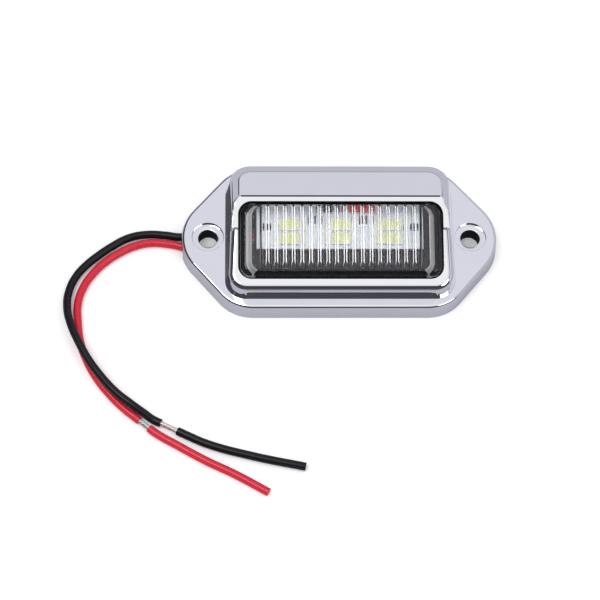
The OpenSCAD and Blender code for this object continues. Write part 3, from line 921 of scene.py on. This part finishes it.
class LAMP_OT_housing(bpy.types.Operator):
    """Model the chromed housing: flange, box with its hood and rim, window, holes and hollow back"""

    bl_idname = "lamp.housing"
    bl_label = "Housing"

    def execute(self, context):
        piece = self.flange()
        paint(piece, HOUSING_SLOTS)
        combine(piece, self.box(), "UNION")
        self.foot(piece)
        self.holes(piece)
        self.hollow(piece)
        polish(piece)
        settle(piece, "chrome_plastic", "housing")
        return {"FINISHED"}

    def flange(self):
        """Pointed plate with a rounded upper edge and a foot that spreads a little."""
        piece = plate("housing_shell", flange_outline(), 0, FLANGE_H)
        round_edges(piece, level(FLANGE_H), FLANGE_EDGE)
        mesh = edit(piece)
        for vertex in mesh.verts:
            if near(vertex.co.z, 0):
                vertex.select_set(True)
        bpy.ops.transform.resize(value=FOOT_SPREAD, center_override=(0, 0, 0))
        leave()
        return piece

    def box(self):
        """Box with leaning walls: the hood's block crossed with the block of the window's front."""
        ridge = ridge_place()
        box = self.hood(ridge)
        combine(box, self.front(), "INTERSECT")

        def on_lip(edge):
            """Sharp edges of the lip, which lie one step out of the window's face."""
            level_ends = all(near(out_of_face(v.co), HOOD_STEP) for v in edge.verts)
            return level_ends and edge.calc_face_angle(0) > 0.3
        round_edges(box, on_lip, 0.28, 4, clamp=False)
        self.window(box)
        self.crease(box, ridge)
        return box

    def crease(self, box, ridge):
        """Fine groove where the hood's panel meets the lip; its faces are painted black, a painted shade
        for the dark line of the crease.
        """
        behind, below = 0.05, 0.1
        deselect()
        bpy.ops.mesh.primitive_cylinder_add(
            vertices=24, radius=CREASE_R * MM, depth=CREASE_L * MM, rotation=(0, math.pi / 2, 0),
            location=(0, (ridge.y + behind) * MM, (ridge.z - below) * MM))
        bpy.ops.object.transform_apply(location=True, rotation=True, scale=True)
        groove = bpy.context.object
        # painted shade: the groove's faces get black plastic to stand for the shade in the crease
        self.bare(groove)
        combine(box, groove, "DIFFERENCE")

    def hood(self, ridge):
        """Leaning walls up to a sloping edge, then a wide chamfer up to the hood's panel."""
        foot_z, lean_h = 3.9, 18.1
        rear_y, rear_z, rise = 16.75, 10.8, 0.22
        base = round_rectangle(28.35, -17.2, 17.2, 5, rear_radius=5.6)
        lean = round_rectangle(25.15, -15.6, 16.5, 4, rear_radius=4.6)
        panel = round_rectangle(24.9, -14, 13.9, 3.3)

        def edge_z(y):
            """Height of the walls' upper edge."""
            return rear_z + (rear_y - y) * rise

        def panel_z(y):
            """Height of the hood's panel, which falls to the rear."""
            return ridge.z - (y - ridge.y) * math.tan(HOOD_FALL)
        walls = []
        for (x, y), (top_x, top_y) in zip(base, lean):
            share = (edge_z(y) - foot_z) / lean_h
            y += (top_y - y) * share
            walls.append((x + (top_x - x) * share, y, edge_z(y)))
        top = [(x, y, panel_z(y)) for x, y in panel]
        box = loft("box", [(x, y, foot_z) for x, y in base], walls, top)
        round_edges(box, along(edge_z), 0.7, clamp=False)
        round_edges(box, along(panel_z), 0.3, 4, clamp=False)
        return box

    def front(self):
        """Block under the window's plane, its border rounded, and a wedge one step higher at the hood."""
        upper, lower = round_rectangle(27.35, 0.75, 60, 4.4), round_rectangle(34.85, -11, 68, 10)
        front = loft("front", [(x, y, -30) for x, y in lower], [(x, y, 0) for x, y in upper])
        round_edges(front, level(0), 1.35, 8)
        taper_per_metre = 1.54
        for vertex in front.data.vertices:
            vertex.co.x *= 1 - taper_per_metre * vertex.co.y
        step = [(15.3, -4), (15.45, -0.3), (15.9, HOOD_STEP), (50, HOOD_STEP), (50, -4)]
        combine(front, bar("wedge", step, 36), "UNION")
        on_slope(front, 0, 0, 0)
        return front

    def window(self, box):
        """Cut the window, with walls of bare plastic, and round its edge in the face."""
        cutter = plate("window", window_outline(0, WINDOW_MID), -6, 6)
        on_slope(cutter, 0, 0, 0)
        paint(box, HOUSING_SLOTS)
        self.bare(cutter)
        combine(box, cutter, "DIFFERENCE")
        out = on_face(0, 0, 1) - on_face(0, 0, 0)
        out.normalize()

        def at_window(edge):
            """Edges where a wall of the cut meets the face."""
            turn = [abs(face.normal.dot(out)) for face in edge.link_faces]
            high = min(v.co.z for v in edge.verts) > 8 * MM
            return high and len(turn) == 2 and max(turn) > 0.98 and min(turn) < 0.02
        round_edges(box, at_window, 0.35, 4)

    def foot(self, piece):
        """Fillet where the box grows out of the flange."""
        def beside_box(place):
            """Whether a point lies no further out than the box's foot, seen from above."""
            return abs(place.x) < 28.5 * MM and -17.8 * MM < place.y < 17.3 * MM
        round_edges(piece, lambda e: level(FLANGE_H)(e) and all(beside_box(v.co) for v in e.verts), 0.6)

    def holes(self, piece):
        """Drill each screw hole with its round seat; the bore itself is bare plastic."""
        profile = (
            (BORE_R, -1), (BORE_R, SEAT_H - 0.12), (BORE_R + 0.03, SEAT_H - 0.03), (BORE_R + 0.12, SEAT_H),
            (SEAT_R, SEAT_H), (SEAT_R, FLANGE_H - 0.14), (SEAT_R + 0.04, FLANGE_H - 0.04),
            (SEAT_R + 0.15, FLANGE_H + 0.03), (SEAT_R + 0.15, 6))
        drill = loft("drill", *[[(x, y, z) for x, y in circle(radius)] for radius, z in profile])
        paint(drill, HOUSING_SLOTS, lambda face: int(face.center.z < 4 * MM))
        for side, cutter in zip((-1, 1), copies(drill, ["drill"] * 2)):
            combine(piece, shift(cutter, side * HOLE_X), "DIFFERENCE")

    def bare(self, cutter):
        """Faces that this cutter leaves are black plastic: bare plastic where only the outside is plated,
        and painted shade where the cutter is the hood's crease.
        """
        paint(cutter, HOUSING_SLOTS, lambda face: 1)

    def hollow(self, piece):
        """Take out the back: the skirt's inside round the screw tubes, the box's inside and the notch."""
        back = plate("back", flange_outline(-SKIRT_WALL), -1, UNDER_PLATE)
        tubes = copies(plate("tube", circle(TUBE_R), -2, 5), ["tube"] * 2)
        for side, tube in zip((-1, 1), tubes):
            combine(back, shift(tube, side * HOLE_X), "DIFFERENCE")
        inside = plate("inside", round_rectangle(25.95, -16.1, 15.5, 3.6), 2.9, 22)
        combine(inside, self.inside_view(), "INTERSECT")
        for cutter in (back, inside):
            self.bare(cutter)
            combine(piece, cutter, "DIFFERENCE")
        notch = [(-42, -3.45), (-36, -3.45), (-36, 4.15), (-42, 4.15)]
        combine(piece, plate("notch", notch, -1, NOTCH_H), "DIFFERENCE")

    def inside_view(self):
        """Side view of the box's inside: under the window's rim, then under the hood's panel."""
        slope = math.tan(bpy.context.scene.lamp_sizes.face_tilt)
        face, ridge = on_face(0, 0, 0) / MM, ridge_place()
        low, front, step, bend, rear, end = 1, -20, 6.46, 13.7, 15.5, 20
        rear_drop, end_drop = 1.6, 2

        def rim(y):
            """Height under the window's rim."""
            return face.z + (y - face.y) * slope - RIM_T

        def panel(y):
            """Height under the hood's panel."""
            return ridge.z - (y - ridge.y) * math.tan(HOOD_FALL) - HOOD_T
        side = [
            (front, low), (front, rim(front)), (step, rim(step)), (step, panel(step)), (bend, panel(bend)),
            (rear, panel(rear) - rear_drop), (end, panel(rear) - end_drop), (end, low)]
        return bar("inside_view", side, 40)


class LAMP_OT_kept_nodes(bpy.types.Operator):
    """Give the CAD nodes that stay their finishes"""

    bl_idname = "lamp.kept_nodes"
    bl_label = "Kept nodes"

    def execute(self, context):
        for row in frame["record"]["subparts"]:
            node = bpy.data.objects.get(row["node"])
            if node is None:
                raise RuntimeError("no object for node " + row["node"])
            node.data.materials.clear()
            node.data.materials.append(finish_of(row["material_slot"]))
        return {"FINISHED"}


SKY = (
    (0.0, (0.03, 0.03, 0.034)), (0.05, (0.05, 0.05, 0.055)), (0.08, (0.5, 0.5, 0.56)),
    (0.44, (0.7, 0.7, 0.78)), (0.58, (0.78, 0.78, 0.85)), (0.63, (0.1, 0.1, 0.11)), (0.7, (0.1, 0.1, 0.11)),
    (0.76, (0.76, 0.76, 0.83)), (0.9, (0.78, 0.78, 0.86)), (0.955, (0.85, 0.85, 0.9)),
    (0.985, (0.98, 0.98, 1.0)),
)


class LAMP_OT_stage(bpy.types.Operator):
    """Set up the floor, the white surroundings and the soft lamps"""

    bl_idname = "lamp.stage"
    bl_label = "Studio"

    def execute(self, context):
        self.world(context)
        self.floor()
        self.lamp("key", (-0.35, -0.1, 0.9), 0.5, 2.4)
        self.lamp("fill", (0.55, -0.45, 0.7), 0.5, 1.2)
        context.scene.view_settings.view_transform = "Standard"
        return {"FINISHED"}

    def world(self, context):
        """White to the camera and through the lens; in the chrome a pale room with a dark horizon."""
        world = bpy.data.worlds.new("studio")
        context.scene.world = world
        world.use_nodes = True
        room = Finish.of_tree(world.node_tree)
        way = room.add("ShaderNodeTexCoord", output=0)
        x, y, z = (room.add("ShaderNodeSeparateXYZ", {}, {0: way}, output=axis) for axis in range(3))
        height = room.add("ShaderNodeValToRGB", {"stops": SKY}, {0: z})
        front = (
            room.above(y * -1.0, 0.3, 0.1) * room.above(z, 0.12, 0.06)
            * room.above(z * -1.0, -0.88, 0.06))
        left = (
            room.above(x * -1.0, 0.2, 0.1) * room.above(y, -0.4, 0.1) * room.above(z, 0.12, 0.06)
            * room.above(z * -1.0, -0.88, 0.05))
        dark = room.add("ShaderNodeMath", {"operation": "MAXIMUM"}, {0: front, 1: left})
        seen = room.blend(dark * 0.93, height, (0.02, 0.02, 0.024))
        shiny = room.add("ShaderNodeLightPath", output="Is Glossy Ray")
        camera = room.add("ShaderNodeLightPath", output="Is Camera Ray")
        through = room.add("ShaderNodeLightPath", output="Is Transmission Ray")
        white = room.add("ShaderNodeMath", {"operation": "MAXIMUM"}, {0: camera, 1: through})
        plain = room.blend(white, (0.8, 0.8, 0.81), (1.0, 1.0, 1.0))
        background = world.node_tree.nodes["Background"]
        room.set(background, {"Color": room.blend(shiny, plain, seen)})

    def floor(self):
        """Wide white floor, a little brighter to the camera and greyer in the chrome."""
        deselect()
        bpy.ops.mesh.primitive_circle_add(vertices=96, radius=4, fill_type="NGON", location=(0, 0, 0))
        floor = bpy.context.object
        floor.name = "floor"
        finish = Finish("floor", {"Roughness": 0.9, "Specular IOR Level": 0.0})
        seen = finish.add("ShaderNodeLightPath", output="Is Camera Ray")
        shiny = finish.add("ShaderNodeLightPath", output="Is Glossy Ray")
        finish.vary(Base_Color=finish.blend(shiny, (0.93, 0.93, 0.94), (0.5, 0.5, 0.56)))
        glow = finish.add("ShaderNodeEmission", {}, {"Color": (1, 1, 1, 1), "Strength": seen * 0.14})
        surface = Reading(finish, finish.shader.outputs[0])
        finish.finish_with(finish.add("ShaderNodeAddShader", {}, {0: surface, 1: glow}))
        floor.data.materials.append(finish.material)

    def lamp(self, name, place, size, power):
        """Round soft lamp that shines at the middle of the floor."""
        data = bpy.data.lights.new(name, "AREA")
        data.shape = "DISK"
        data.size = size
        data.energy = power
        light = bpy.data.objects.new(name, data)
        light.location = place
        light.rotation_euler = Vector(place).to_track_quat("Z", "Y").to_euler()
        bpy.context.collection.objects.link(light)


class LAMP_PT_panel(bpy.types.Panel):
    """Steps that dress the lamp, in their order"""

    bl_idname = "LAMP_PT_panel"
    bl_label = "Plate Lamp"
    bl_space_type = "VIEW_3D"
    bl_region_type = "UI"
    bl_category = "Plate Lamp"

    def draw(self, context):
        for step in STEPS:
            self.layout.operator(step.bl_idname)


STEPS = (
    LAMP_OT_camera, LAMP_OT_wires, LAMP_OT_leads, LAMP_OT_kept_nodes, LAMP_OT_housing, LAMP_OT_lens,
    LAMP_OT_lights, LAMP_OT_small_parts, LAMP_OT_stage,
)
GROUPS = (LampColours, LampSizes, LampStudio)


def register():
    for group in GROUPS:
        bpy.utils.register_class(group)
    for step in STEPS:
        bpy.utils.register_class(step)
    bpy.utils.register_class(LAMP_PT_panel)
    bpy.types.Scene.lamp_colours = bpy.props.PointerProperty(type=LampColours)
    bpy.types.Scene.lamp_sizes = bpy.props.PointerProperty(type=LampSizes)
    bpy.types.Scene.lamp_studio = bpy.props.PointerProperty(type=LampStudio)


def unregister():
    del bpy.types.Scene.lamp_studio
    del bpy.types.Scene.lamp_sizes
    del bpy.types.Scene.lamp_colours
    bpy.utils.unregister_class(LAMP_PT_panel)
    for step in reversed(STEPS):
        bpy.utils.unregister_class(step)
    for group in reversed(GROUPS):
        bpy.utils.unregister_class(group)


def main():
    register()
    for step in STEPS:
        group, name = step.bl_idname.split(".")
        getattr(getattr(bpy.ops, group), name)()


if __name__ == "__main__":
    main()
